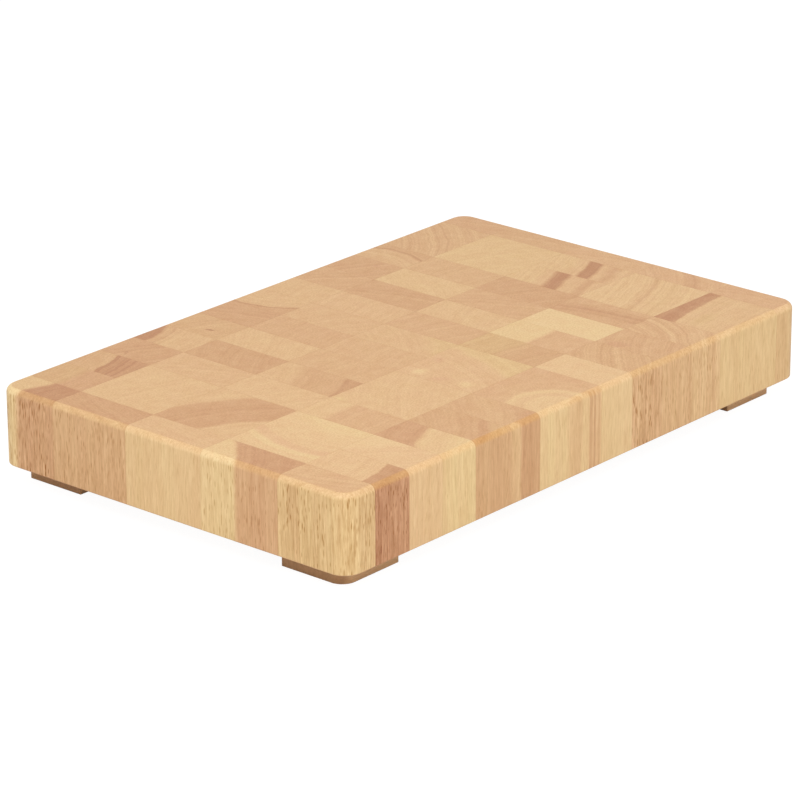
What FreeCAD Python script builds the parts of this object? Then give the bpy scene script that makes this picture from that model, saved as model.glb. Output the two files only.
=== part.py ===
import FreeCAD, Part
import math
import os
import Sketcher

# End-grain chopping board on four screwed wooden feet.
# The board is a slab of upright hardwood blocks, glued edge to edge in a regular grid, so that the end
# grain is the cutting surface. Some blocks are twice as wide as the rest and fill two columns of the grid.
# The outer blocks carry the rounded rim that was milled after gluing.
# Frame: +X along the length, +Y from front to back, +Z up. The origin is on the ground, at the centre.

# Driving dimensions in millimetres; the two counts are plain numbers.
SIZES = {
    "board_length": (400.0, "finished length, along X"),
    "board_width": (256.5, "finished width, along Y"),
    "board_height": (46.0, "thickness of the slab, without its feet"),
    "columns": (15, "blocks in a row, counted along X"),
    "rows": (5, "rows of blocks, counted along Y"),
    "block_width": (27.3, "full block, along X"),
    "block_depth": (55.4, "full block, along Y"),
    "grid_shift": (3.1, "how far the middle of the glued grid lies behind the middle of the slab"),
    "trim_allowance": (4.0, "how far the glued-up blocks stood past the finished slab"),
    "corner_radius": (11.0, "upright corners of the slab"),
    "top_round": (4.0, "rounding of the upper rim"),
    "bottom_round": (1.0, "rounding of the lower rim"),
    "foot_side": (39.0, "three of the feet are square pads of this side"),
    "large_foot_side": (44.0, "the front left foot is a larger square pad"),
    "foot_height": (11.0, "thickness of a foot"),
    "front_foot_inset": (12.0, "from the slab's front side to a front foot"),
    "back_foot_inset": (9.5, "from the slab's back side to a back foot"),
    "foot_reach": (33.0, "from the slab's end to the centre of a foot"),
    "foot_corner": (9.0, "radius of the large foot's outer corner, the one under the slab's corner"),
    "foot_easing": (0.4, "radius of a foot's other upright corners"),
    "foot_bevel": (0.3, "bevel round a foot's lower face"),
    "screw_hole": (4.4, "clearance hole through a foot"),
    "head_sink": (1.2, "depth of the screw head below the foot's face"),
    "head_recess": (8.6, "diameter of the recess that the head sits in"),
    "head_diameter": (8.0, "countersunk head"),
    "head_rim": (0.4, "height of the head's straight rim"),
    "head_cone": (2.1, "height of the head's cone"),
    "screw_length": (30.0, "from the head's face to the tip"),
    "thread_diameter": (4.0, "over the crests of the thread"),
    "core_diameter": (2.6, "at the root of the thread"),
    "thread_pitch": (1.8, "from crest to crest"),
    "thread_turns": (10, "crests on the screw"),
    "tip_length": (4.0, "cone at the end of the screw"),
    "pilot_clearance": (0.1, "between the thread's crests and the hole in the block"),
    "recess_span": (4.6, "across the cross recess, tip to tip"),
    "recess_slot": (1.1, "width of one arm of the cross recess"),
    "recess_depth": (1.8, "depth of the cross recess"),
}

# The double-width blocks: in each row, counted from the front, the first column that such a block fills.
WIDE_BLOCKS = {0: (6, 12), 1: (1, 4, 6, 12), 2: (1,), 3: (1, 12), 4: (12,)}

doc = FreeCAD.newDocument("ChoppingBoard")
subparts = []


def make_sheet():
    """The spreadsheet that every size is bound to."""
    sheet = doc.addObject("Spreadsheet::Sheet", "Sizes")
    for line, (alias, (value, meaning)) in enumerate(SIZES.items(), start=1):
        sheet.set(f"A{line}", alias)
        sheet.set(f"B{line}", str(value))
        sheet.set(f"C{line}", meaning)
        sheet.setAlias(f"B{line}", alias)
    doc.recompute()
    return sheet


sheet = make_sheet()
COLUMNS = int(sheet.columns)
ROWS = int(sheet.rows)


def finished(feature, label):
    """Names a sub-part and puts it on the list of those that are written out."""
    feature.Label = label
    subparts.append(feature)
    return feature


def bind(feature, **formulas):
    """Binds properties of a feature to formulas; x, y and z stand for its position."""
    for name, formula in formulas.items():
        path = f"Placement.Base.{name}" if name in ("x", "y", "z") else name
        feature.setExpression(path, formula)


def polygon_sketch(body, name, plane, corners, lift=None):
    """A closed polygon on one of a body's origin planes; each corner is a pair of formulas."""
    sketch = body.newObject("Sketcher::SketchObject", name)
    support = next(f for f in body.Origin.OriginFeatures if f.Role == plane)
    sketch.AttachmentSupport = [(support, "")]
    sketch.MapMode = "FlatFace"
    if lift:
        sketch.setExpression("AttachmentOffset.Base.z", lift)
    points = [
        FreeCAD.Vector(sheet.evalExpression(across), sheet.evalExpression(up), 0)
        for across, up in corners
    ]
    count = len(points)
    for i, start in enumerate(points):
        sketch.addGeometry(Part.LineSegment(start, points[(i + 1) % count]))
    for i in range(count):
        sketch.addConstraint(Sketcher.Constraint("Coincident", i, 2, (i + 1) % count, 1))
    for i, (across, up) in enumerate(corners):
        for kind, formula, value in (("DistanceX", across, points[i].x), ("DistanceY", up, points[i].y)):
            index = sketch.addConstraint(Sketcher.Constraint(kind, -1, 1, i, 1, value))
            sketch.setExpression(f"Constraints[{index}]", formula)
    return sketch


def rectangle(half_across, half_up):
    """Corners of a rectangle round the origin, as formulas."""
    return [
        (f"-({half_across})", f"-({half_up})"),
        (half_across, f"-({half_up})"),
        (half_across, half_up),
        (f"-({half_across})", half_up),
    ]


def pad(body, sketch, height):
    """A pad of the sketch, of the height that the formula gives."""
    feature = body.newObject("PartDesign::Pad", "Pad")
    feature.Profile = sketch
    feature.setExpression("Length", height)
    sketch.Visibility = False
    doc.recompute()
    return feature


def edge_names(feature, wanted):
    """Names of the feature's edges whose two ends both satisfy the test."""
    names = []
    for number, edge in enumerate(feature.Shape.Edges, start=1):
        if wanted(edge.Vertexes[0].Point, edge.Vertexes[-1].Point):
            names.append(f"Edge{number}")
    return names


def is_upright(start, end):
    """True for the ends of a vertical edge."""
    return abs(start.z - end.z) > 1.0


def lies_at(level):
    """A test for edges that lie at one height."""
    return lambda start, end: abs(start.z - level) + abs(end.z - level) < 1e-6


def dress(body, kind, base, wanted, **formulas):
    """A fillet or chamfer on the edges of the base that satisfy the test."""
    feature = body.newObject(f"PartDesign::{kind}", kind)
    feature.Base = (base, edge_names(base, wanted))
    for name, formula in formulas.items():
        feature.setExpression(name, formula)
    doc.recompute()
    return feature


def make_finished_outline():
    """The slab's finished envelope. It trims the outer blocks and isn't a piece of its own."""
    body = doc.addObject("PartDesign::Body", "finished_outline")
    corners = rectangle("Sizes.board_length / 2", "Sizes.board_width / 2")
    block = pad(body, polygon_sketch(body, "OutlineSketch", "XY_Plane", corners), "Sizes.board_height")
    block = dress(body, "Fillet", block, is_upright, Radius="Sizes.corner_radius")
    block = dress(body, "Fillet", block, lies_at(sheet.board_height), Radius="Sizes.top_round")
    dress(body, "Fillet", block, lies_at(0.0), Radius="Sizes.bottom_round")
    bind(body, z="Sizes.foot_height")
    doc.recompute()
    return body


def joint(index, count, pitch, overall, allowance, shift="0"):
    """Formula for the joint plane before block number index, in a run of count blocks."""
    if index == 0:
        return f"-{overall} / 2 - {allowance}"
    if index == count:
        return f"{overall} / 2 + {allowance}"
    return f"({index} - {count} / 2) * {pitch} + {shift}"


def spans(row):
    """The blocks of one row, each as the pair of its first and last columns."""
    pairs = []
    column = 0
    while column < COLUMNS:
        last = column + 1 if column in WIDE_BLOCKS[row] else column
        pairs.append((column, last))
        column = last + 1
    return pairs


def block_name(place, span):
    """The name of a block: its place and the columns it fills, counted from one."""
    first, last = span
    return f"{place}_{first + 1:02d}" if first == last else f"{place}_{first + 1:02d}_{last + 1:02d}"


def is_outer(span, row):
    """True for a block that shows on a side of the board."""
    return span[0] == 0 or span[1] == COLUMNS - 1 or row in (0, ROWS - 1)


def make_block(name, span, row):
    """One upright block, cut to its cell of the grid. Outer blocks are still oversize on every side."""
    allowance = "Sizes.trim_allowance" if is_outer(span, row) else "0"
    left, right = (
        joint(i, COLUMNS, "Sizes.block_width", "Sizes.board_length", allowance)
        for i in (span[0], span[1] + 1)
    )
    front, back = (
        joint(i, ROWS, "Sizes.block_depth", "Sizes.board_width", allowance, "Sizes.grid_shift")
        for i in (row, row + 1)
    )
    block = doc.addObject("Part::Box", name)
    bind(block, Length=f"({right}) - ({left})", Width=f"({back}) - ({front})")
    bind(block, Height=f"Sizes.board_height + 2 * {allowance}")
    bind(block, x=left, y=front, z=f"Sizes.foot_height - {allowance}")
    return block


def trimmed(block, outline):
    """An outer block after the rim has been milled."""
    piece = doc.addObject("Part::Common", f"{block.Name}_trimmed")
    piece.Base = block
    piece.Tool = outline
    return piece


def is_large(side_x, side_y):
    """True for the front left foot."""
    return side_x < 0 and side_y < 0


def side_of_foot(side_x, side_y):
    """The alias of a foot's side length."""
    return "large_foot_side" if is_large(side_x, side_y) else "foot_side"


def foot_centre(side_x, side_y):
    """Formulas for the centre of the foot at the corner given by two signs."""
    half_side = f"Sizes.{side_of_foot(side_x, side_y)} / 2"
    inset = "Sizes.front_foot_inset" if side_y < 0 else "Sizes.back_foot_inset"
    return (
        f"{side_x} * (Sizes.board_length / 2 - Sizes.foot_reach)",
        f"{side_y} * (Sizes.board_width / 2 - {inset} - {half_side})",
    )


def foot_column(side_x):
    """The column of the grid that a foot's screw goes up into."""
    distance = sheet.board_length / 2 - sheet.foot_reach
    return math.floor(side_x * distance / sheet.block_width + COLUMNS / 2)


def drilled(piece, centre):
    """A block with the blind hole that the foot's screw bites into."""
    hole = doc.addObject("Part::Cylinder", f"{piece.Name}_pilot")
    bind(hole, Radius="Sizes.thread_diameter / 2 + Sizes.pilot_clearance")
    bind(hole, Height="Sizes.head_sink + Sizes.screw_length + Sizes.pilot_clearance")
    bind(hole, x=centre[0], y=centre[1])
    cut = doc.addObject("Part::Cut", f"{piece.Name}_drilled")
    cut.Base = piece
    cut.Tool = hole
    return cut


def make_outer_blocks(outline):
    """The ring of blocks round the board, each a node of its own, with the screwed ones drilled."""
    screws = [
        (foot_column(side_x), row, foot_centre(side_x, side_y))
        for side_x in (-1, 1)
        for row, side_y in ((0, -1), (ROWS - 1, 1))
    ]
    for row in range(ROWS):
        for span in spans(row):
            if not is_outer(span, row):
                continue
            if row in (0, ROWS - 1):
                label = block_name("front_block" if row == 0 else "back_block", span)
            else:
                label = f"left_block_{row}" if span[0] == 0 else f"right_block_{row}"
            piece = trimmed(make_block(f"{label}_stock", span, row), outline)
            for column, screw_row, centre in screws:
                if screw_row == row and span[0] <= column <= span[1]:
                    piece = drilled(piece, centre)
            finished(piece, label)


def make_core_blocks():
    """The inner blocks. Those that fill the same columns are alike, so they share a node."""
    rows_filled = {}
    for row in range(1, ROWS - 1):
        for span in spans(row):
            if not is_outer(span, row):
                rows_filled.setdefault(span, []).append(row)
    for span, rows in sorted(rows_filled.items()):
        name = block_name("core_blocks", span)
        node = doc.addObject("Part::Compound", f"{name}_set")
        node.Links = [make_block(f"{name}_row_{row}", span, row) for row in rows]
        finished(node, name)


def make_foot(label, side_x, side_y):
    """A square pad with a countersunk hole. The large one has a rounded outer corner."""
    side = side_of_foot(side_x, side_y)
    half = sheet.get(side) / 2

    def is_outer_corner(start, end):
        return is_upright(start, end) and start.x * side_x > 0 and start.y * side_y > 0

    def is_square_corner(start, end):
        return is_upright(start, end) and abs(abs(start.x) - half) + abs(abs(start.y) - half) < 1e-6

    body = doc.addObject("PartDesign::Body", f"{label}_body")
    square = rectangle(f"Sizes.{side} / 2", f"Sizes.{side} / 2")
    block = pad(body, polygon_sketch(body, f"{label}_square", "XY_Plane", square), "Sizes.foot_height")
    if is_large(side_x, side_y):
        block = dress(body, "Fillet", block, is_outer_corner, Radius="Sizes.foot_corner")
    block = dress(body, "Fillet", block, is_square_corner, Radius="Sizes.foot_easing")
    block = dress(body, "Chamfer", block, lies_at(0.0), Size="Sizes.foot_bevel")
    seat = "Sizes.head_sink + Sizes.head_rim"
    profile = [
        ("0", "-Sizes.foot_bevel"),
        ("Sizes.head_recess / 2", "-Sizes.foot_bevel"),
        ("Sizes.head_recess / 2", seat),
        ("Sizes.screw_hole / 2", f"{seat} + Sizes.head_cone"),
        ("Sizes.screw_hole / 2", "Sizes.foot_height + Sizes.foot_bevel"),
        ("0", "Sizes.foot_height + Sizes.foot_bevel"),
    ]
    turn(body, "Groove", polygon_sketch(body, f"{label}_hole", "XZ_Plane", profile))
    centre = foot_centre(side_x, side_y)
    bind(body, x=centre[0], y=centre[1])
    finished(body, label)


def turn(body, kind, sketch):
    """A full turn of the sketch about the body's Z axis: a Revolution adds and a Groove cuts."""
    before = body.Shape.Volume if kind == "Groove" else 0.0
    feature = body.newObject(f"PartDesign::{kind}", kind)
    feature.Profile = sketch
    feature.ReferenceAxis = (sketch, ["V_Axis"])
    feature.Angle = 360.0
    sketch.Visibility = False
    doc.recompute()
    if abs(feature.Shape.Volume - before) < 1.0:
        raise RuntimeError(f"{feature.Name} of {body.Name} changed nothing")


def screw_profile():
    """Half section of the screw: sunk head, shank, ridges of the thread and the tip."""
    head, core, crest = "Sizes.head_diameter / 2", "Sizes.core_diameter / 2", "Sizes.thread_diameter / 2"
    tip = "Sizes.head_sink + Sizes.screw_length"
    rim = "Sizes.head_sink + Sizes.head_rim"
    thread_end = f"{tip} - Sizes.tip_length"
    corners = [
        ("0", "Sizes.head_sink"),
        (head, "Sizes.head_sink"),
        (head, rim),
        (crest, f"{rim} + Sizes.head_cone"),
    ]
    turns = int(sheet.thread_turns)
    corners.append((crest, f"{thread_end} - {turns + 0.5} * Sizes.thread_pitch"))
    for ridge in range(turns):
        corners.append((core, f"{thread_end} - {turns - ridge} * Sizes.thread_pitch"))
        corners.append((crest, f"{thread_end} - {turns - ridge - 0.5} * Sizes.thread_pitch"))
    corners.append((core, thread_end))
    corners.append(("0", tip))
    return corners


def make_screw(label, centre):
    """A countersunk wood screw, upside down, with its head sunk into the foot."""
    body = doc.addObject("PartDesign::Body", f"{label}_body")
    turn(body, "Revolution", polygon_sketch(body, f"{label}_section", "XZ_Plane", screw_profile()))
    span, slot = "Sizes.recess_span / 2", "Sizes.recess_slot / 2"
    quarter = [(span, slot), (slot, slot), (slot, span)]
    cross = []
    for across_sign, up_sign in (("", ""), ("-", ""), ("-", "-"), ("", "-")):
        turned = quarter if across_sign == up_sign else quarter[::-1]
        cross += [(f"{across_sign}{across}", f"{up_sign}{up}") for across, up in turned]
    sketch = polygon_sketch(body, f"{label}_cross", "XY_Plane", cross, lift="Sizes.head_sink")
    before = body.Shape.Volume
    pocket = body.newObject("PartDesign::Pocket", "Pocket")
    pocket.Profile = sketch
    pocket.Reversed = True
    pocket.setExpression("Length", "Sizes.recess_depth")
    sketch.Visibility = False
    doc.recompute()
    if pocket.Shape.Volume > before - 1.0:
        raise RuntimeError(f"the cross recess of {label} cuts nothing")
    bind(body, x=centre[0], y=centre[1])
    finished(body, label)


def make_feet():
    """Four feet and their screws, one set at each corner."""
    for end, side_y in (("front", -1), ("back", 1)):
        for side, side_x in (("left", -1), ("right", 1)):
            make_foot(f"{end}_{side}_foot", side_x, side_y)
            make_screw(f"{end}_{side}_foot_screw", foot_centre(side_x, side_y))


def check_document():
    """Stops if any object failed or any sub-part isn't a valid closed shape."""
    for feature in doc.Objects:
        if "Invalid" in feature.State or "Error" in feature.State:
            raise RuntimeError(f"{feature.Label} is {feature.State}")
    for feature in subparts:
        shape = feature.Shape
        if shape.isNull() or not shape.isValid() or not shape.Solids:
            raise RuntimeError(f"{feature.Label} has no valid solid")


def check_slab():
    """The blocks together must fill the finished outline, but for the drilled holes."""
    blocks = [f for f in subparts if "block" in f.Label]
    total = sum(solid.Volume for f in blocks for solid in f.Shape.Solids)
    radius = sheet.thread_diameter / 2 + sheet.pilot_clearance
    depth = sheet.head_sink + sheet.screw_length + sheet.pilot_clearance - sheet.foot_height
    holes = 4 * math.pi * radius**2 * depth
    outline = doc.getObject("finished_outline").Shape.Volume
    if abs(total + holes - outline) > 1.0:
        raise RuntimeError(f"blocks and holes hold {total + holes:.1f} mm3, the outline {outline:.1f}")
    print(f"{sum(len(f.Shape.Solids) for f in subparts)} solids in {len(subparts)} nodes")


def write_parts():
    """Writes each sub-part to a STEP file of its own."""
    os.makedirs("parts", exist_ok=True)
    for feature in subparts:
        feature.Shape.exportStep(f"parts/{feature.Label}.step")


make_outer_blocks(make_finished_outline())
make_core_blocks()
make_feet()
doc.recompute()
check_document()
check_slab()
write_parts()
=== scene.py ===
import math
import random

import bmesh
import bpy
from mathutils import Matrix, Vector


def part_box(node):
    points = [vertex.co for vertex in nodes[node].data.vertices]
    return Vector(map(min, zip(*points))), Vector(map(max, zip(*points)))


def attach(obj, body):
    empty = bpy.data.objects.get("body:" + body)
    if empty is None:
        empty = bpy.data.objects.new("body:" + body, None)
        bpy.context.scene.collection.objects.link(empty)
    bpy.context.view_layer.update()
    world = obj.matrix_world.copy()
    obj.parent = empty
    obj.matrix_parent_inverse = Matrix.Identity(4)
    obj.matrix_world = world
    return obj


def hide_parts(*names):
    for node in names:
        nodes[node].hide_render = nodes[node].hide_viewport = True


# End-grain chopping board: the look of every block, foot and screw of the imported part.
# Lengths are metres, except in the figures of the blocks and in the materials, which are in millimetres.
# Rows count from the front (-Y) and columns from the left (-X).

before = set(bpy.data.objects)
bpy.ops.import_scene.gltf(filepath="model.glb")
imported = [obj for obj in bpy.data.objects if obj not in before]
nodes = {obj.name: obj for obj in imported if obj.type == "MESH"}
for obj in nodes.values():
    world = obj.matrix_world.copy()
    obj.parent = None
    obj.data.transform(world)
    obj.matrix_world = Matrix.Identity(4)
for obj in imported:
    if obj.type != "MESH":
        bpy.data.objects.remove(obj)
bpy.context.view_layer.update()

MM = 0.001

# The slab's roundings, milled after gluing, the just broken arrises of the joints, and the number of steps
# that each rounding is drawn with.
CORNER_RADIUS = 11 * MM
TOP_ROUND = 4.0 * MM
BOTTOM_ROUND = 1.0 * MM
JOINT_BEVEL = 0.07 * MM
CORNER_STEPS = 18
TOP_STEPS = 9
BOTTOM_STEPS = 3

# Edges that turn more than the first angle are arrises, and those that turn less than the second look round.
ARRIS_ANGLE = math.radians(50)
SMOOTH_ANGLE = math.radians(40)

# Display colours of the wood by tone, from the palest sapwood at 0 to the darkest heartwood at 1. A hue above
# 0 makes them pinker, and one below 0 yellower.
TONE_COLORS = (
    (0.0, (234, 199, 147)),
    (0.22, (229, 189, 139)),
    (0.45, (220, 176, 128)),
    (0.7, (210, 162, 116)),
    (1.0, (194, 141, 99)),
)
GLUE_COLOR = (150, 100, 66)
FOOT_PALE = (240, 200, 152)
FOOT_BROWN = (192, 151, 110)
FOOT_ACROSS_GRAIN = (184, 164, 152)
# The painted shade on the feet just under the slab.
FOOT_PAINTED_SHADE = (90, 52, 34)
STEEL_LIGHT = (222, 216, 200)
STEEL_DULL = (190, 186, 176)

# A distance past any block's edge.
FAR = 99.0

# Painted shade, darker towards the back: how much darker than their figures the rows are, front row first.
ROW_PAINTED_SHADE = (0.0, 0.0, 0.06, 0.09, 0.17)


def block(tone, hue=0.0, grain=90, bend=140, pith=None, rings=0.35, pores=0.3, bands=(), spots=(),
          side=-0.06, side_hue=-0.35, face=None, rim=1.0, wide=False):
    """The figure of one block. Lengths are millimetres from the block's centre.

    tone is how dark the wood is, and hue how pink. rings and pores say how strongly those show.
    grain is the direction away from the pith, in degrees, and bend the distance to the pith: a negative
    one puts the pith on the other side. pith gives it outright. A band is (from, to, tone, hue, edge)
    along the grain direction, and a spot is (x, y, reach x, reach y, turn, tone, hue, edge).
    side and side_hue are added where the upright grain shows. Where the figure of the end grain doesn't
    run on down the side, face gives the side's tone and hue outright. rim is how much lighter the milled
    rim is than the faces beside it, partly paler wood and partly a painted highlight: 1 is usual. A wide
    block spans two columns.
    """
    return dict(tone=tone, hue=hue, grain=grain, bend=bend, pith=pith, rings=rings, pores=pores, bands=bands,
                spots=spots, side=side, side_hue=side_hue, face=face, rim=rim, wide=wide)


FIGURES = (
    # The front row.
    (
        block(0.42, 0.2, grain=200, rings=0.5, pores=0.92, side=-0.09, side_hue=-1.3, rim=1.75,
              spots=((8.0, -4.0, 8.0, 9.0, 0, 0.5, 0.5, 0.9),)),
        block(0.24, 0.25, grain=-78, rings=0.4, pores=1.3, face=(0.92, 0.8), rim=0.6,
              bands=((13.0, FAR, 0.8, 0.4, 1.0),)),
        block(0.22, 0.35, grain=45, rim=0.55, bands=((8.0, FAR, 0.08, 0.2, 5.0),)),
        block(0.24, -0.1, grain=115, bend=90, rings=0.45, side=-0.1, rim=0.2,
              bands=((2.5, FAR, 0.68, 0.55, 1.6), (-FAR, -14.0, 0.14, -0.4, 3.0))),
        block(0.55, 0.15, grain=-46, bend=160, rings=0.5, pores=0.35, face=(0.58, -0.1), rim=-0.4,
              bands=((10.6, 17.0, 0.72, 0.3, 1.4), (17.5, FAR, 0.46, -0.1, 2.5))),
        block(0.5, 0.2, grain=-44, bend=160, rings=0.4, pores=0.35, side=0.0, side_hue=-0.2, rim=0.15,
              bands=((13.5, FAR, 0.66, 0.3, 1.6), (-2.0, 5.0, 0.42, 0.1, 4.0)),
              spots=((-6.4, -24.1, 5.0, 4.0, 0, 0.34, 0.0, 0.5),)),
        block(0.42, 0.3, pith=(-14.4, -23.0), rings=0.35, wide=True, side=-0.17, side_hue=-0.3,
              pores=0.25, rim=0.75,
              bands=((-FAR, 17.0, 0.2, -0.1, 2.2), (17.0, 20.0, 0.32, 0.1, 1.4),
                     (20.0, 26.5, 0.16, -0.1, 2.6), (37.0, FAR, 0.46, 0.45, 5.0)),
              spots=((4.0, -24.1, 9.0, 3.0, 0, 0.46, 0.2, 0.6), (13.8, -24.1, 3.6, 3.0, 0, 0.3, -0.1, 0.6),
                     (17.4, -24.1, 1.5, 3.0, 0, 0.72, 0.4, 0.6), (20.8, -24.1, 1.1, 3.0, 0, 0.78, 0.4, 0.6),
                     (24.2, -24.1, 1.3, 3.0, 0, 0.6, 0.3, 0.6), (27.4, -24.1, 2.0, 3.0, 0, 0.3, 0.0, 0.6))),
        block(0.18, 0.2, grain=20, rings=0.2, pores=0.15, side=-0.14, rim=0.7),
        block(0.5, 0.1, grain=130, rings=0.85, pores=1.1, side=-0.05, side_hue=0.0),
        block(0.52, 0.25, grain=120, rings=0.6, pores=0.6, side=-0.12,
              spots=((-9.0, 11.0, 6.0, 8.0, 20, 0.66, 0.7, 0.5),)),
        block(0.42, 0.2, grain=-35, bend=60, rings=0.95, pores=0.6, side=-0.08,
              bands=((-9.0, -4.0, 0.55, 0.3, 2.5),)),
        block(0.34, 0.0, grain=97, bend=190, rings=0.4, wide=True, side=-0.16, side_hue=-0.7,
              bands=((13.4, FAR, 0.92, 0.5, 1.1),), spots=((-12.0, -1.0, 15.0, 7.0, 10, 0.44, -0.8, 0.8),)),
        block(0.46, 0.6, grain=10, rings=0.4, side=-0.07, side_hue=-1.3, rim=2.2,
              spots=((8.0, -20.0, 6.0, 5.0, 0, 0.75, 0.7, 0.8),)),
    ),
    # The second row.
    (
        block(0.16, -0.3, grain=-52, rings=0.4, pores=0.55, side=-0.2, side_hue=-0.2, rim=1.6,
              bands=((-9.1, FAR, 0.76, 0.5, 2.0),)),
        block(0.2, 0.05, grain=170, bend=60, rings=0.3, wide=True,
              bands=((16.0, 21.0, 0.06, -0.2, 2.0), (9.0, 16.0, 0.3, 0.6, 2.0),
                     (-FAR, -14.0, 0.1, -0.35, 8.0))),
        block(0.46, 0.35, grain=90, rings=0.35, bands=((9.0, FAR, 0.27, 0.0, 4.0),)),
        block(0.31, 0.05, grain=125, rings=0.35, wide=True,
              spots=((-28.0, 22.0, 8.0, 6.0, 0, 0.2, -0.9, 0.9),)),
        block(0.33, 0.3, grain=-20, rings=0.4, wide=True,
              bands=((14.0, FAR, 0.33, -0.9, 5.0),),
              spots=((-19.5, 16.5, 7.0, 6.0, 0, 0.04, -0.1, 0.8), (-19.0, -17.0, 7.0, 7.0, 0, 0.1, -0.3, 0.9),
                     (-21.0, 0.0, 4.0, 12.0, 40, 0.42, 0.9, 0.9), (2.0, 21.0, 8.0, 5.0, 40, 0.46, 0.9, 0.9))),
        block(0.58, 0.1, grain=80, rings=0.5, pores=0.5, bands=((0.0, FAR, 0.5, -0.9, 6.0),)),
        block(0.13, -0.5, grain=-90, rings=0.3, bands=((-1.0, FAR, 0.44, 0.4, 3.0),)),
        block(0.05, -0.15, grain=30, rings=0.2, pores=0.15),
        block(0.52, 0.3, grain=10, rings=0.6, bands=((-6.0, 5.0, 0.72, 0.4, 3.5),)),
        block(0.26, -0.05, grain=-70, bend=170, rings=0.7, wide=True,
              bands=((-3.0, 2.5, 0.47, 0.0, 2.5), (12.0, 17.0, 0.42, -0.3, 3.0))),
        block(0.44, 0.5, grain=-50, rings=0.6, side=-0.26, bands=((2.0, 9.0, 0.6, 0.6, 3.0),)),
    ),
    # The middle row.
    (
        block(0.3, 0.2, grain=170, rings=0.3, side=-0.22, side_hue=-0.5, rim=1.5),
        block(0.28, 0.0, grain=57, bend=120, rings=0.4, wide=True, bands=((-17.0, 18.5, 0.62, 0.3, 3.0),)),
        block(0.25, 0.05, grain=60, rings=0.3),
        block(0.5, 0.15, grain=-65, rings=0.35,
              bands=((20.0, FAR, 0.72, 0.3, 1.2), (-FAR, -8.0, 0.3, 0.0, 5.0))),
        block(0.4, 0.15, grain=80, rings=0.35),
        block(0.38, 0.2, grain=100, rings=0.35),
        block(0.32, 0.1, grain=-40, rings=0.35, bands=((14.0, FAR, 0.3, -0.8, 6.0),)),
        block(0.43, 0.3, grain=70, rings=0.5),
        block(0.26, 0.0, grain=110, rings=0.35),
        block(0.44, 0.3, grain=30, rings=0.45),
        block(0.56, 0.3, grain=60, rings=0.5),
        block(0.33, 0.2, grain=-71, bend=200, rings=0.5,
              bands=((-3.5, 6.0, 0.93, 0.4, 1.8), (17.0, 23.0, 0.55, 0.4, 3.0),
                     (-FAR, -9.0, 0.24, -0.3, 4.0))),
        block(0.33, 0.2, grain=-71, bend=200, rings=0.5,
              bands=((-0.5, 8.5, 0.9, 0.4, 1.8), (14.5, 20.0, 0.55, 0.4, 3.0),
                     (-FAR, -7.0, 0.24, -0.3, 4.0))),
        block(0.37, 0.4, grain=15, rings=0.4, side=0.1, pores=0.7),
    ),
    # The fourth row.
    (
        block(0.58, 0.3, grain=160, rings=0.45, pores=0.6, side=-0.16, rim=2.35),
        block(0.24, -0.05, grain=75, rings=0.3, wide=True),
        block(0.3, 0.2, grain=30, rings=0.4),
        block(0.55, 0.2, grain=120, rings=0.4),
        block(0.24, 0.0, grain=-60, rings=0.4),
        block(0.42, 0.3, grain=95, rings=0.4),
        block(0.32, 0.2, grain=60, rings=0.4),
        block(0.27, 0.25, grain=100, rings=0.4),
        block(0.5, 0.3, grain=20, rings=0.5),
        block(0.2, -0.2, grain=-30, rings=0.3),
        block(0.36, 0.1, grain=80, rings=0.4),
        block(0.2, -0.45, grain=60, rings=0.3, wide=True),
        block(0.42, 0.2, grain=10, rings=0.4, side=-0.16),
    ),
    # The back row.
    (
        block(0.14, -0.4, grain=-109, rings=0.4, pores=1.15, side=-0.25, side_hue=-0.2, rim=2.6,
              bands=((-2.5, FAR, 0.75, 0.5, 2.0),)),
        block(0.4, -0.45, grain=-85, rings=0.5, bands=((3.4, FAR, 0.46, 0.5, 3.0),)),
        block(0.38, 0.0, grain=-76, bend=150, rings=0.5,
              bands=((1.4, FAR, 0.68, 0.4, 0.8), (1.4, 3.4, 1.0, 0.3, 0.6), (8.3, 9.8, 0.95, 0.4, 0.6),
                     (13.2, 14.6, 0.95, 0.4, 0.6))),
        block(0.48, 0.35, grain=60, rings=0.6, spots=((-8.0, 3.0, 4.0, 1.6, 30, 0.75, 0.3, 0.8),)),
        block(0.22, 0.0, grain=103, bend=-50, rings=0.5,
              bands=((10.2, FAR, 0.84, 0.5, 2.0), (4.5, 6.0, 0.5, 0.2, 0.9), (7.5, 8.5, 0.4, 0.2, 0.9))),
        block(0.34, -0.1, grain=60, rings=0.5, spots=((-4.2, -6.5, 1.4, 4.2, 15, 0.98, 0.0, 0.5),)),
        block(0.46, 0.4, grain=20, rings=0.5),
        block(0.2, 0.0, grain=200, bend=40, rings=0.4,
              bands=((8.6, 10.6, 0.68, 0.3, 0.8), (10.6, FAR, 0.46, 0.4, 1.0))),
        block(0.2, 0.0, grain=100, rings=0.35),
        block(0.36, 0.3, grain=45, rings=0.6),
        block(0.42, 0.35, grain=60, rings=0.6, spots=((6.0, -6.0, 4.0, 4.0, 0, 0.5, 1.0, 0.9),)),
        block(0.24, 0.1, grain=0, bend=35, rings=0.5,
              bands=((7.4, 9.6, 0.66, 0.2, 0.9), (9.6, FAR, 0.42, 0.1, 1.0))),
        block(0.3, 0.1, grain=-45, rings=0.85, wide=True),
        block(0.36, 0.5, grain=20, rings=0.5, side=-0.3, side_hue=-0.7, pores=0.8),
    ),
)


# Geometry of the blocks.


def levels(values):
    """Sorted values, with those that lie within a tenth of a millimetre of each other taken as one."""
    found = []
    for value in sorted(values):
        if not found or value - found[-1] > 0.1 * MM:
            found.append(value)
    return found


def column_label(first, last):
    """How a node's name gives the columns that its block spans."""
    return f"{first + 1:02d}" if first == last else f"{first + 1:02d}_{last + 1:02d}"


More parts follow.
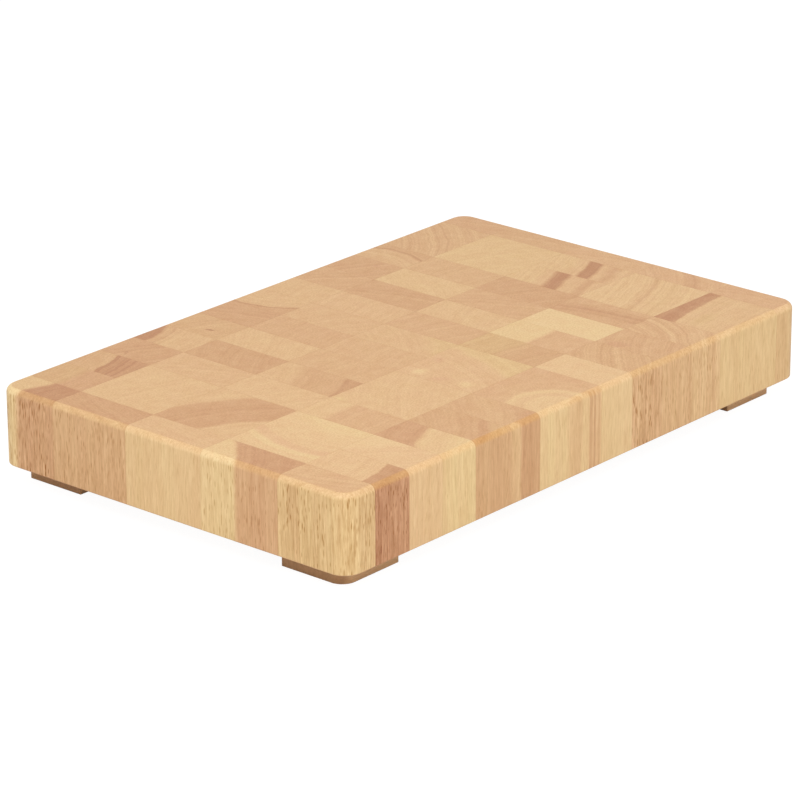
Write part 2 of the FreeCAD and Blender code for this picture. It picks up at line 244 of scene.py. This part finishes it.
def node_of(row, first, last):
    """The CAD node that a block belongs to."""
    if row == 0:
        return f"front_block_{column_label(first, last)}"
    if row == len(FIGURES) - 1:
        return f"back_block_{column_label(first, last)}"
    if first == 0:
        return f"left_block_{row}"
    if last == COLUMNS - 1:
        return f"right_block_{row}"
    return f"core_blocks_{column_label(first, last)}"


def spans(figures):
    """The first and last columns of each block of a row."""
    column = 0
    for figure in figures:
        last = column + 1 if figure["wide"] else column
        yield column, last
        column = last + 1


COLUMNS = max(last for _, last in spans(FIGURES[0])) + 1
boxes = {name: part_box(name) for name in nodes if "block" in name}
JOINTS_X = levels(corner.x for pair in boxes.values() for corner in pair)
JOINTS_Y = levels(
    corner.y for name, pair in boxes.items() if not name.startswith("core") for corner in pair
)
SLAB_LOW = min(low.z for low, high in boxes.values())
SLAB_HIGH = max(high.z for low, high in boxes.values())
HALF_X = JOINTS_X[-1]
HALF_Y = JOINTS_Y[-1]


def outline(cell, inset):
    """Corners of a block's section, anticlockwise, where the slab's sides stand back by the inset."""
    left, right, front, back = cell
    reach_x = HALF_X - inset
    reach_y = HALF_Y - inset
    radius = CORNER_RADIUS - inset
    low_x, high_x = max(left, -reach_x), min(right, reach_x)
    low_y, high_y = max(front, -reach_y), min(back, reach_y)
    points = []
    for x, y, turn in ((low_x, low_y, 180), (high_x, low_y, 270), (high_x, high_y, 0), (low_x, high_y, 90)):
        at_corner = abs(abs(x) - reach_x) < 1e-7 and abs(abs(y) - reach_y) < 1e-7
        if not at_corner:
            points.append((x, y))
            continue
        centre_x = x - math.copysign(radius, x)
        centre_y = y - math.copysign(radius, y)
        for step in range(CORNER_STEPS + 1):
            angle = math.radians(turn + 90 * step / CORNER_STEPS)
            points.append((centre_x + radius * math.cos(angle), centre_y + radius * math.sin(angle)))
    return points


def quarter_turn(steps):
    """The angles from 0 to 90 degrees, in radians."""
    return [math.radians(90 * step / steps) for step in range(steps + 1)]


def rim_levels():
    """Height and inset of each level of an outer block, from the lower rim to the upper one."""
    lower = [(SLAB_LOW + BOTTOM_ROUND * (1 - math.cos(angle)), BOTTOM_ROUND * (1 - math.sin(angle)))
             for angle in quarter_turn(BOTTOM_STEPS)]
    upper = [(SLAB_HIGH - TOP_ROUND * (1 - math.cos(angle)), TOP_ROUND * (1 - math.sin(angle)))
             for angle in reversed(quarter_turn(TOP_STEPS))]
    return lower + upper


def block_mesh(name, cell, is_outer):
    """A block as a stack of sections between the slab's faces, its arrises just broken."""
    stack = rim_levels() if is_outer else [(SLAB_LOW, 0.0), (SLAB_HIGH, 0.0)]
    mesh = bmesh.new()
    rings = [[mesh.verts.new((x, y, z)) for x, y in outline(cell, inset)] for z, inset in stack]
    mesh.faces.new(rings[0][::-1])
    mesh.faces.new(rings[-1])
    count = len(rings[0])
    for below, above in zip(rings, rings[1:]):
        for i in range(count):
            j = (i + 1) % count
            mesh.faces.new((below[i], below[j], above[j], above[i]))
    mesh.normal_update()
    arrises = [edge for edge in mesh.edges if edge.calc_face_angle(0.0) > ARRIS_ANGLE]
    bmesh.ops.bevel(mesh, geom=arrises, offset=JOINT_BEVEL, segments=1, affect="EDGES", clamp_overlap=True)
    mesh.normal_update()
    data = bpy.data.meshes.new(name)
    mesh.to_mesh(data)
    mesh.free()
    data.shade_smooth()
    data.set_sharp_from_angle(angle=SMOOTH_ANGLE)
    return data


# Materials. A noise's scale is per millimetre.


def display(color):
    """A colour given as display values of 0 to 255, as linear light."""
    linear = [(v / 255 / 12.92) if v <= 10 else ((v / 255 + 0.055) / 1.055) ** 2.4 for v in color]
    return (*linear, 1.0)


def new_node(tree, kind, inputs=None, **settings):
    """Adds a node. Inputs map a socket's name or number to a value or to the socket that feeds it."""
    made = tree.nodes.new(kind)
    for name, value in settings.items():
        setattr(made, name, value)
    for key, value in (inputs or {}).items():
        if isinstance(value, bpy.types.NodeSocket):
            tree.links.new(value, made.inputs[key])
        else:
            made.inputs[key].default_value = value
    return made


def calc(tree, operation, *values, clamp=False):
    """A Math node's result."""
    inputs = dict(enumerate(values))
    return new_node(tree, "ShaderNodeMath", inputs, operation=operation, use_clamp=clamp).outputs[0]


def opposite(tree, share):
    """What a share leaves of 1."""
    return calc(tree, "SUBTRACT", 1.0, share)


def calc_vector(tree, operation, *values):
    """A Vector Math node's result; the length of a vector comes out as a number."""
    made = new_node(tree, "ShaderNodeVectorMath", dict(enumerate(values)), operation=operation)
    return made.outputs["Value" if operation == "LENGTH" else "Vector"]


def parts_of(tree, vector):
    """The X, Y and Z of a vector."""
    return new_node(tree, "ShaderNodeSeparateXYZ", {0: vector}).outputs


def stretched(tree, vector, x, y, z):
    """A vector with each part multiplied."""
    return calc_vector(tree, "MULTIPLY", vector, (x, y, z))


def in_millimetres(tree, vector):
    """A vector in metres, as millimetres."""
    return stretched(tree, vector, 1 / MM, 1 / MM, 1 / MM)


def smooth(tree, value, low, high):
    """0 below low and 1 above high, smooth between them."""
    inputs = {"Value": value, "From Min": low, "From Max": high}
    return new_node(tree, "ShaderNodeMapRange", inputs, interpolation_type="SMOOTHSTEP").outputs["Result"]


def noise(tree, vector, scale, upright=1.0, detail=2.0, roughness=0.5):
    """3-D noise, centred on zero and about -0.5 to 0.5.

    Heights count only as much as upright says, which draws the noise out along the grain of the blocks.
    """
    inputs = {"Vector": stretched(tree, vector, 1.0, 1.0, upright), "Scale": scale, "Detail": detail,
              "Roughness": roughness}
    value = new_node(tree, "ShaderNodeTexNoise", inputs, noise_dimensions="3D").outputs[0]
    return calc(tree, "SUBTRACT", value, 0.5)


def line_noise(tree, value, scale, detail=2.0):
    """Noise along one number, centred on zero."""
    inputs = {"W": value, "Scale": scale, "Detail": detail}
    made = new_node(tree, "ShaderNodeTexNoise", inputs, noise_dimensions="1D").outputs[0]
    return calc(tree, "SUBTRACT", made, 0.5)


def blend(tree, factor, first, second):
    """A number between two others."""
    inputs = {0: factor, 2: first, 3: second}
    return new_node(tree, "ShaderNodeMix", inputs, data_type="FLOAT").outputs[0]


def blend_color(tree, factor, first, second, kind="MIX"):
    """A mix of two colours."""
    inputs = {0: factor, 6: first, 7: second}
    return new_node(tree, "ShaderNodeMix", inputs, data_type="RGBA", blend_type=kind).outputs[2]


def multiply_color(tree, color, red, green, blue):
    """A colour with each of its parts multiplied."""
    factors = new_node(tree, "ShaderNodeCombineColor", {0: red, 1: green, 2: blue}).outputs[0]
    return blend_color(tree, 1.0, color, factors, "MULTIPLY")


def new_group(name, inputs, outputs):
    """A node group. Inputs and outputs map a socket's name to its kind."""
    tree = bpy.data.node_groups.new(name, "ShaderNodeTree")
    for in_out, sockets in (("INPUT", inputs), ("OUTPUT", outputs)):
        for socket, kind in sockets.items():
            tree.interface.new_socket(name=socket, in_out=in_out, socket_type=f"NodeSocket{kind}")
    return tree, tree.nodes.new("NodeGroupInput").outputs, tree.nodes.new("NodeGroupOutput").inputs


def use_group(tree, group, inputs):
    """Adds a group node and returns its outputs."""
    return new_node(tree, "ShaderNodeGroup", inputs, node_tree=group).outputs


def make_place_group():
    """Where a point lies in its block, in millimetres.

    Place is where it is from the block's centre, Wood is that place in the block's own part of the noise,
    and Across is how far it is across the rings.
    """
    tree, given, result = new_group(
        "timber_place",
        {"Centre": "Vector", "Pith": "Vector", "Lean": "Vector", "Reach": "Float", "Side": "Float",
         "Seed": "Float"},
        {"Place": "Vector", "Wood": "Vector", "Across": "Float"},
    )
    position = tree.nodes.new("ShaderNodeTexCoord").outputs["Object"]
    place = in_millimetres(tree, calc_vector(tree, "SUBTRACT", position, given["Centre"]))
    lean = new_node(
        tree, "ShaderNodeVectorMath", {0: given["Lean"], "Scale": parts_of(tree, place)["Z"]},
        operation="SCALE",
    ).outputs[0]
    leaning = calc_vector(tree, "ADD", place, lean)
    shift = new_node(
        tree, "ShaderNodeCombineXYZ", {0: given["Seed"], 1: calc(tree, "MULTIPLY", given["Seed"], 1.7)},
    ).outputs[0]
    wood = calc_vector(tree, "ADD", leaning, shift)

    away = calc_vector(tree, "SUBTRACT", leaning, given["Pith"])
    distance = calc_vector(tree, "LENGTH", stretched(tree, away, 1.0, 1.0, 0.0))
    across = calc(tree, "MULTIPLY", calc(tree, "SUBTRACT", distance, given["Reach"]), given["Side"])
    slow_wave = noise(tree, wood, 0.07, upright=0.12, detail=1.0)
    quick_wave = noise(tree, wood, 0.35, upright=0.08)
    across = calc(tree, "MULTIPLY_ADD", slow_wave, 4.0, across)
    across = calc(tree, "MULTIPLY_ADD", quick_wave, 1.6, across)
    for name, socket in (("Place", place), ("Wood", wood), ("Across", across)):
        tree.links.new(socket, result[name])
    return tree


def make_band_group():
    """Changes the tone and hue between two distances across the rings."""
    tree, given, result = new_group(
        "timber_band",
        {"Tone": "Float", "Hue": "Float", "Across": "Float", "From": "Float", "To": "Float", "Edge": "Float",
         "Band tone": "Float", "Band hue": "Float"},
        {"Tone": "Float", "Hue": "Float"},
    )
    half = calc(tree, "MULTIPLY", given["Edge"], 0.9)
    past_start, past_end = (
        smooth(tree, given["Across"], calc(tree, "SUBTRACT", given[edge], half),
               calc(tree, "ADD", given[edge], half))
        for edge in ("From", "To")
    )
    inside = calc(tree, "MULTIPLY", past_start, opposite(tree, past_end))
    tree.links.new(blend(tree, inside, given["Tone"], given["Band tone"]), result["Tone"])
    tree.links.new(blend(tree, inside, given["Hue"], given["Band hue"]), result["Hue"])
    return tree


def make_spot_group():
    """Changes the tone and hue inside an ellipse of the end grain."""
    tree, given, result = new_group(
        "timber_spot",
        {"Tone": "Float", "Hue": "Float", "Place": "Vector", "Spot": "Vector", "Shrink": "Vector",
         "Turn": "Float", "Edge": "Float", "Spot tone": "Float", "Spot hue": "Float"},
        {"Tone": "Float", "Hue": "Float"},
    )
    away = calc_vector(tree, "SUBTRACT", given["Place"], given["Spot"])
    turned = new_node(tree, "ShaderNodeVectorRotate", {"Vector": away, "Angle": given["Turn"]},
                      rotation_type="Z_AXIS").outputs[0]
    distance = calc_vector(tree, "LENGTH", calc_vector(tree, "MULTIPLY", turned, given["Shrink"]))
    ragged = noise(tree, given["Place"], 0.3, upright=0.1)
    distance = calc(tree, "MULTIPLY_ADD", ragged, 0.7, distance)
    inside = opposite(tree, smooth(tree, distance, opposite(tree, given["Edge"]), 1.0))
    tree.links.new(blend(tree, inside, given["Tone"], given["Spot tone"]), result["Tone"])
    tree.links.new(blend(tree, inside, given["Hue"], given["Spot hue"]), result["Hue"])
    return tree


def side_share(tree, place):
    """How far a point is below the top, and a share that is 1 where the upright grain shows."""
    thickness = (SLAB_HIGH - SLAB_LOW) / MM
    below_top = calc(tree, "SUBTRACT", thickness / 2, parts_of(tree, place)["Z"])
    under_rim = smooth(tree, below_top, 1.0, 4.0)
    above_base = opposite(tree, smooth(tree, below_top, thickness - 0.9, thickness - 0.2))
    return below_top, calc(tree, "MULTIPLY", under_rim, above_base)


def ring_share(tree, across):
    """Wide and thin growth rings, centred on zero."""
    wide = line_noise(tree, across, 0.22)
    thin = line_noise(tree, calc(tree, "ADD", across, 50.0), 0.75, detail=3.0)
    return calc(tree, "MULTIPLY_ADD", thin, 0.55, calc(tree, "MULTIPLY", wide, 0.7))


def pore_share(tree, given, on_side):
    """How much of a point is pore. Pores are dots on the end grain and short dark streaks on the sides."""
    drawn_up = stretched(tree, given["Wood"], 1.0, 1.0, 0.14)
    cells = new_node(tree, "ShaderNodeTexVoronoi", {"Vector": drawn_up, "Scale": 1.05},
                     feature="F1", voronoi_dimensions="3D")
    crowd = smooth(tree, noise(tree, given["Wood"], 0.12, upright=0.08), -0.2, 0.14)
    size = calc(tree, "MULTIPLY_ADD", crowd, 0.28, 0.2)
    core = calc(tree, "MULTIPLY", size, 0.4)
    pore = opposite(tree, smooth(tree, cells.outputs["Distance"], core, size))
    depth = calc(tree, "MULTIPLY", given["Pores"], blend(tree, on_side, 0.2, 1.0))
    pore = calc(tree, "MULTIPLY", pore, depth)
    chance = new_node(tree, "ShaderNodeSeparateColor", {0: cells.outputs["Color"]}).outputs[0]
    return calc(tree, "MULTIPLY", pore, calc(tree, "MULTIPLY_ADD", chance, 0.9, 0.1))


def wood_color(tree, tone, hue):
    """The colour of a tone, tinted by the hue."""
    ramp = tree.nodes.new("ShaderNodeValToRGB")
    stops = ramp.color_ramp.elements
    while len(stops) < len(TONE_COLORS):
        stops.new(0.5)
    for stop, (position, color) in zip(stops, TONE_COLORS):
        stop.position = position
        stop.color = display(color)
    tree.links.new(tone, ramp.inputs[0])
    green = calc(tree, "MULTIPLY_ADD", hue, -0.05, 1.0)
    blue = calc(tree, "MULTIPLY_ADD", hue, 0.015, 1.0)
    return multiply_color(tree, ramp.outputs[0], 1.0, green, blue)


def shade_grain(tree, color, given, fibres, pore, on_side):
    """Shades a colour by its fibres and pores and, on the sides, by the streaks of the cut vessels."""
    streaks = noise(tree, given["Wood"], 0.8, upright=0.06, detail=4.0, roughness=0.75)
    streaks = calc(tree, "MULTIPLY", streaks, calc(tree, "MULTIPLY", on_side, given["Pores"]))
    shade = calc(tree, "MULTIPLY_ADD", fibres, blend(tree, on_side, -0.8, -0.55), 1.0)
    shade = calc(tree, "MULTIPLY_ADD", streaks, -1.6, shade)
    shade = calc(tree, "MULTIPLY_ADD", pore, -0.62, shade)
    change = calc(tree, "SUBTRACT", shade, 1.0)
    red = calc(tree, "MULTIPLY_ADD", change, 0.72, 1.0)
    blue = calc(tree, "MULTIPLY_ADD", change, 1.35, 1.0)
    return multiply_color(tree, color, red, shade, blue)


def lighten_rim_with_painted_highlight(tree, color, given, tone, below_top):
    """Makes the milled rim lighter than the faces on either side of it, and a dark block's rim oranger:
    partly paler wood, partly a painted highlight.
    """
    # The band of the rounding, lightened by paler wood and by a painted highlight.
    rim = calc(tree, "MULTIPLY", smooth(tree, below_top, 0.0, 0.3),
               opposite(tree, smooth(tree, below_top, 1.6, 4.0)))
    lifts = (
        calc(tree, "MULTIPLY_ADD", given["Rim"], 0.06, 0.03),
        calc(tree, "MULTIPLY", given["Rim"], 0.13),
        calc(tree, "MULTIPLY_ADD", tone, -0.28, calc(tree, "MULTIPLY", given["Rim"], 0.2)),
    )
    return multiply_color(tree, color, *(calc(tree, "MULTIPLY_ADD", rim, lift, 1.0) for lift in lifts))


def add_glue(tree, color, given):
    """Darkens the thin line of glue that shows at each joint."""
    past_low = parts_of(tree, calc_vector(tree, "SUBTRACT", given["Place"], given["Joint low"]))
    to_high = parts_of(tree, calc_vector(tree, "SUBTRACT", given["Joint high"], given["Place"]))
    edge = calc(tree, "MINIMUM", calc(tree, "MINIMUM", past_low["X"], past_low["Y"]),
                calc(tree, "MINIMUM", to_high["X"], to_high["Y"]))
    glue = opposite(tree, smooth(tree, edge, 0.1, 0.35))
    return blend_color(tree, calc(tree, "MULTIPLY", glue, 0.12), color, display(GLUE_COLOR))


def make_surface_group():
    """The look of oiled end-grain wood of one tone and hue, with its rings, fibres, pores and rim, whose
    paleness is partly a painted highlight.
    """
    tree, given, result = new_group(
        "timber_surface",
        {"Tone": "Float", "Hue": "Float", "Place": "Vector", "Wood": "Vector", "Across": "Float",
         "Rings": "Float", "Pores": "Float", "Side tone": "Float", "Side hue": "Float",
         "Face": "Float", "Face tone": "Float", "Face hue": "Float", "Rim": "Float",
         "Joint low": "Vector", "Joint high": "Vector"},
        {"Color": "Color", "Roughness": "Float", "Relief": "Float"},
    )
    wood = given["Wood"]
    below_top, on_side = side_share(tree, given["Place"])
    mottle = noise(tree, wood, 0.16, upright=0.08, detail=3.0)
    fibres = noise(tree, wood, 0.95, upright=0.09, detail=3.0, roughness=0.7)
    patches = noise(tree, calc_vector(tree, "ADD", wood, (40.0, 11.0, 0.0)), 0.11, upright=0.1)
    pore = pore_share(tree, given, on_side)

    plain_side = calc(tree, "MULTIPLY", on_side, given["Face"])
    tone = blend(tree, plain_side, given["Tone"], given["Face tone"])
    tone = calc(tree, "MULTIPLY_ADD", ring_share(tree, given["Across"]), given["Rings"], tone)
    tone = calc(tree, "MULTIPLY_ADD", mottle, 0.32, tone)
    tone = calc(tree, "MULTIPLY_ADD", on_side, given["Side tone"], tone)
    hue = blend(tree, plain_side, given["Hue"], given["Face hue"])
    hue = calc(tree, "MULTIPLY_ADD", on_side, given["Side hue"], hue)
    hue = calc(tree, "MULTIPLY_ADD", patches, 0.9, hue)

    color = wood_color(tree, tone, hue)
    color = shade_grain(tree, color, given, fibres, pore, on_side)
    # Paler wood and a painted highlight on the rim.
    color = lighten_rim_with_painted_highlight(tree, color, given, tone, below_top)
    color = add_glue(tree, color, given)

    roughness = calc(tree, "MULTIPLY_ADD", mottle, 0.15, 0.5)
    roughness = calc(tree, "MULTIPLY_ADD", pore, 0.2, roughness, clamp=True)
    relief = calc(tree, "SUBTRACT", calc(tree, "MULTIPLY", fibres, 0.6), pore)
    for name, socket in (("Color", color), ("Roughness", roughness), ("Relief", relief)):
        tree.links.new(socket, result[name])
    return tree


def new_material(name):
    """A material with an empty node tree and its output."""
    material = bpy.data.materials.new(name)
    material.use_nodes = True
    material.node_tree.nodes.clear()
    return material, material.node_tree, material.node_tree.nodes.new("ShaderNodeOutputMaterial")


def show_wood(tree, output, color, roughness, relief, strength):
    """Shows wood with a relief. The shader is in no group, so that its colour can be baked."""
    bump = new_node(tree, "ShaderNodeBump", {"Strength": strength, "Distance": 0.05 * MM, "Height": relief})
    surface = new_node(
        tree, "ShaderNodeBsdfPrincipled",
        {"Base Color": color, "Roughness": roughness, "Specular IOR Level": 0.3, "Normal": bump.outputs[0]},
    )
    tree.links.new(surface.outputs[0], output.inputs["Surface"])


def pith_of(figure):
    """Where the pith is from the block's centre, where the rings are counted from, and which way."""
    if figure["pith"]:
        return Vector((*figure["pith"], 0.0)), 0.0, 1.0
    turn = math.radians(figure["grain"])
    pith = Vector((math.cos(turn), math.sin(turn), 0.0)) * -figure["bend"]
    return pith, abs(figure["bend"]), math.copysign(1.0, figure["bend"])


def joint_places(cell, centre):
    """Where a block's glued faces are from its centre. The slab's own sides have no glue, so they are far."""
    left, right, front, back = cell
    low = [-FAR if edge < -limit + MM else (edge - middle) / MM
           for edge, limit, middle in ((left, HALF_X, centre.x), (front, HALF_Y, centre.y))]
    high = [FAR if edge > limit - MM else (edge - middle) / MM
            for edge, limit, middle in ((right, HALF_X, centre.x), (back, HALF_Y, centre.y))]
    return (*low, 0.0), (*high, 0.0)


def block_material(name, cell, figure, shade, groups, dice):
    """The wood of one block, from its figure, darkened by its row's painted shade."""
    material, tree, output = new_material(name)
    left, right, front, back = cell
    centre = Vector(((left + right) / 2, (front + back) / 2, (SLAB_LOW + SLAB_HIGH) / 2))
    pith, reach, side = pith_of(figure)
    lean = Vector((dice.uniform(-0.02, 0.02), dice.uniform(-0.02, 0.02), 0.0))
    place = use_group(
        tree, groups["place"],
        {"Centre": centre, "Pith": pith, "Lean": lean, "Reach": reach, "Side": side,
         "Seed": dice.uniform(100.0, 900.0)},
    )
    # shade is the row's painted shade, added to the figure's tone and to those of its bands and spots.
    tone, hue = figure["tone"] + shade, figure["hue"]
    for start, end, band_tone, band_hue, edge in figure["bands"]:
        made = use_group(
            tree, groups["band"],
            {"Tone": tone, "Hue": hue, "Across": place["Across"], "From": start, "To": end, "Edge": edge,
             "Band tone": band_tone + shade, "Band hue": band_hue},
        )
        tone, hue = made["Tone"], made["Hue"]
    for x, y, reach_x, reach_y, turn, spot_tone, spot_hue, edge in figure["spots"]:
        made = use_group(
            tree, groups["spot"],
            {"Tone": tone, "Hue": hue, "Place": place["Place"], "Spot": (x, y, 0.0),
             "Shrink": (1 / reach_x, 1 / reach_y, 0.0), "Turn": math.radians(-turn), "Edge": edge,
             "Spot tone": spot_tone + shade, "Spot hue": spot_hue},
        )
        tone, hue = made["Tone"], made["Hue"]
    has_face = figure["face"] is not None
    face_tone, face_hue = figure["face"] if has_face else (0.0, 0.0)
    side_tone, side_hue = (0.0, 0.0) if has_face else (figure["side"], figure["side_hue"])
    joint_low, joint_high = joint_places(cell, centre)
    look = use_group(
        tree, groups["surface"],
        {"Tone": tone, "Hue": hue, "Place": place["Place"], "Wood": place["Wood"], "Across": place["Across"],
         "Rings": figure["rings"], "Pores": figure["pores"], "Side tone": side_tone, "Side hue": side_hue,
         "Face": float(has_face), "Face tone": face_tone, "Face hue": face_hue, "Rim": figure["rim"],
         "Joint low": joint_low, "Joint high": joint_high},
    )
    show_wood(tree, output, look["Color"], look["Roughness"], look["Relief"], 0.25)
    return material


def foot_material():
    """Brown hardwood, with the grain lying along X.

    The faces across the grain and the one below are darker, and painted shade darkens the wood just under the
    slab.
    """
    material, tree, output = new_material("foot_wood")
    coordinates = tree.nodes.new("ShaderNodeTexCoord").outputs
    position = in_millimetres(tree, coordinates["Object"])
    streaks = noise(tree, stretched(tree, position, 0.06, 1.0, 1.0), 0.5, detail=4.0, roughness=0.6)
    fine = noise(tree, stretched(tree, position, 0.05, 1.0, 1.0), 2.2, detail=3.0, roughness=0.6)
    tone = calc(tree, "MULTIPLY_ADD", streaks, 1.1, 0.5)
    tone = calc(tree, "MULTIPLY_ADD", fine, 0.5, tone, clamp=True)
    color = blend_color(tree, tone, display(FOOT_PALE), display(FOOT_BROWN))

    facing = parts_of(tree, coordinates["Normal"])
    turn = calc(tree, "MAXIMUM", *(calc(tree, "ABSOLUTE", facing[part]) for part in ("X", "Z")))
    dark_face = calc(tree, "MULTIPLY", smooth(tree, turn, 0.3, 0.8), 0.62)
    color = blend_color(tree, dark_face, color, display(FOOT_ACROSS_GRAIN), "MULTIPLY")
    # Painted shade: the foot grows darker towards its top, where the slab overhangs it.
    painted_shade = calc(tree, "MULTIPLY", smooth(tree, parts_of(tree, position)["Z"], 3.0, 11.0), 0.3)
    color = blend_color(tree, painted_shade, color, display(FOOT_PAINTED_SHADE))
    show_wood(tree, output, color, 0.55, fine, 0.2)
    return material


def screw_material():
    """Zinc-plated steel."""
    material, tree, output = new_material("screw_steel")
    position = in_millimetres(tree, tree.nodes.new("ShaderNodeTexCoord").outputs["Object"])
    cloud = noise(tree, position, 0.6, detail=3.0)
    color = blend_color(tree, calc(tree, "ADD", cloud, 0.5), display(STEEL_LIGHT), display(STEEL_DULL))
    surface = new_node(
        tree, "ShaderNodeBsdfPrincipled",
        {"Base Color": color, "Metallic": 1.0, "Roughness": calc(tree, "MULTIPLY_ADD", cloud, 0.2, 0.34)},
    )
    tree.links.new(surface.outputs[0], output.inputs["Surface"])
    return material


def make_blocks():
    """Builds every block of the slab in place of the plain CAD ones."""
    groups = {
        "place": make_place_group(),
        "band": make_band_group(),
        "spot": make_spot_group(),
        "surface": make_surface_group(),
    }
    dice = random.Random(7)
    for row, figures in enumerate(FIGURES):
        for figure, (first, last) in zip(figures, spans(figures)):
            node = node_of(row, first, last)
            name = node.replace("blocks", f"block_row_{row + 1}") + "_wood"
            cell = (JOINTS_X[first], JOINTS_X[last + 1], JOINTS_Y[row], JOINTS_Y[row + 1])
            is_outer = not node.startswith("core")
            piece = bpy.data.objects.new(name, block_mesh(name, cell, is_outer))
            bpy.context.scene.collection.objects.link(piece)
            weighted = piece.modifiers.new("even_shading", "WEIGHTED_NORMAL")
            weighted.keep_sharp = True
            wood = block_material(name, cell, figure, ROW_PAINTED_SHADE[row], groups, dice)
            piece.data.materials.append(wood)
            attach(piece, "root")
            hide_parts(node)


def dress_feet():
    """Gives the feet and their screws their materials."""
    wood = foot_material()
    steel = screw_material()
    for name, piece in nodes.items():
        if "foot" in name:
            piece.data.materials.clear()
            piece.data.materials.append(steel if name.endswith("_screw") else wood)


# The stage. Angles are degrees, and the lens is in millimetres.

CAMERA_AZIMUTH = 49.253
CAMERA_PITCH = 20.769
CAMERA_ROLL = -0.197
CAMERA_DISTANCE = 2.3617
CAMERA_SHIFT = (-0.00557, -0.01206)
CAMERA_LENS = 186.6
CAMERA_TARGET = (0.0, 0.0, 0.0345)

FLOOR_REACH = 6.0
FLOOR_GLOW = 1.12
FLOOR_GLOW_SHARE = 0.85
ROOM_LIGHT = 0.74
KEY_PLACE = (-0.8, -0.85, 1.8)
KEY_SIZE = 1.4
KEY_POWER = 16.4


def make_camera():
    """The view of the board from its front left corner, through a long lens."""
    azimuth, pitch, roll = (math.radians(a) for a in (CAMERA_AZIMUTH, CAMERA_PITCH, CAMERA_ROLL))
    ahead = Vector((
        math.sin(azimuth) * math.cos(pitch),
        math.cos(azimuth) * math.cos(pitch),
        -math.sin(pitch),
    ))
    right = ahead.cross(Vector((0.0, 0.0, 1.0))).normalized()
    up = right.cross(ahead)
    rolled_right = math.cos(roll) * right + math.sin(roll) * up
    rolled_up = math.cos(roll) * up - math.sin(roll) * right
    data = bpy.data.cameras.new("camera")
    data.lens = CAMERA_LENS
    data.sensor_width = 36.0
    data.clip_start = 0.1
    data.clip_end = 50.0
    camera = bpy.data.objects.new("camera", data)
    bpy.context.scene.collection.objects.link(camera)
    place = Vector(CAMERA_TARGET) - CAMERA_DISTANCE * ahead
    place += CAMERA_SHIFT[0] * rolled_right + CAMERA_SHIFT[1] * rolled_up
    turned = Matrix((rolled_right, rolled_up, -ahead)).transposed().to_4x4()
    camera.matrix_world = Matrix.Translation(place) @ turned
    bpy.context.scene.camera = camera


def make_floor():
    """A wide white floor under the feet. The camera sees mostly its glow, which lights nothing."""
    corners = [(x * FLOOR_REACH, y * FLOOR_REACH, 0.0) for x, y in ((-1, -1), (1, -1), (1, 1), (-1, 1))]
    data = bpy.data.meshes.new("floor")
    data.from_pydata(corners, [], [(0, 1, 2, 3)])
    floor = bpy.data.objects.new("floor", data)
    bpy.context.scene.collection.objects.link(floor)
    material, tree, output = new_material("floor_white")
    lit = new_node(tree, "ShaderNodeBsdfDiffuse", {"Color": (0.9, 0.9, 0.9, 1.0)})
    glow = new_node(tree, "ShaderNodeEmission", {"Color": (1.0, 1.0, 1.0, 1.0), "Strength": FLOOR_GLOW})
    to_camera = tree.nodes.new("ShaderNodeLightPath").outputs["Is Camera Ray"]
    seen = calc(tree, "MULTIPLY", to_camera, FLOOR_GLOW_SHARE)
    surface = new_node(tree, "ShaderNodeMixShader", {0: seen, 1: lit.outputs[0], 2: glow.outputs[0]})
    tree.links.new(surface.outputs[0], output.inputs["Surface"])
    data.materials.append(material)


def make_key_light():
    """A square soft box high up on the camera's side, which points at the board."""
    data = bpy.data.lights.new("key", "AREA")
    data.size = KEY_SIZE
    data.energy = KEY_POWER
    light = bpy.data.objects.new("key", data)
    bpy.context.scene.collection.objects.link(light)
    light.location = KEY_PLACE
    light.rotation_mode = "QUATERNION"
    light.rotation_quaternion = (-Vector(KEY_PLACE)).to_track_quat("-Z", "Y")


def make_room_light():
    """Even white light from all round, shown without a film look."""
    world = bpy.data.worlds.new("studio")
    bpy.context.scene.world = world
    world.use_nodes = True
    background = world.node_tree.nodes["Background"]
    background.inputs["Color"].default_value = (1.0, 1.0, 1.0, 1.0)
    background.inputs["Strength"].default_value = ROOM_LIGHT
    view = bpy.context.scene.view_settings
    view.view_transform = "Standard"
    view.look = "None"


make_camera()
make_floor()
make_room_light()
make_key_light()
make_blocks()
dress_feet()
